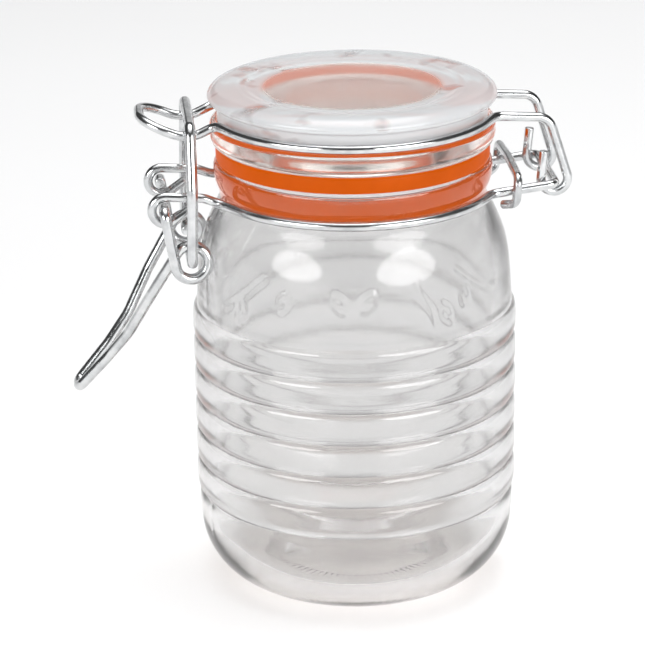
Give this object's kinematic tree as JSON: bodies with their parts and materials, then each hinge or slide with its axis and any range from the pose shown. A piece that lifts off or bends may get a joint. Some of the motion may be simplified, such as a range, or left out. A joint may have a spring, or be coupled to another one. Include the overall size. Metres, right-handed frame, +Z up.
{
  "type": "bail clamp jar",
  "caption": "Small ribbed clear glass storage jar with a dished glass lid, an orange rubber gasket and a sprung wire bail clamp with hinge.",
  "frame": {"origin": "centre of the jar's flat base", "axes": "+Z up along the jar's axis, -X towards the latch, +X towards the hinge, the wires symmetric about the plane y = 0"},
  "size_m": [0.0918, 0.06, 0.095],
  "materials": {
    "clear_glass": "clear pressed glass, fire-polished",
    "orange_rubber": "moulded satin rubber",
    "plated_steel": "bright zinc-plated drawn steel wire"
  },
  "bodies": {
    "jar": {"glass_jar": "clear_glass", "neck_wire": "plated_steel", "neck_wire_tie": "plated_steel"},
    "lid": {"glass_lid": "clear_glass", "lid_wire": "plated_steel", "gasket": "orange_rubber"},
    "lever": {"lever": "plated_steel"},
    "link": {"bail_link": "plated_steel"}
  },
  "joints": [
    {"name": "lid_hinge", "type": "hinge", "parent": "jar", "child": "lid", "pos_m": [0.0359, 0, 0.07715], "axis": [0, 1, 0], "range_deg": [0, 115]},
    {"name": "lever_pivot", "type": "hinge", "parent": "jar", "child": "lever", "pos_m": [-0.035, 0, 0.0751], "axis": [0, 1, 0], "range_deg": [0, 110], "deforming": ["bail_link"]},
    {"name": "link_pivot", "type": "hinge", "parent": "lever", "child": "link", "pos_m": [-0.0304, 0, 0.0659], "axis": [0, 1, 0], "range_deg": [-110, 0]}
  ],
  "couplings": [
    {"joint": "link_pivot", "follows": "lever_pivot", "ratio": -1}
  ]
}
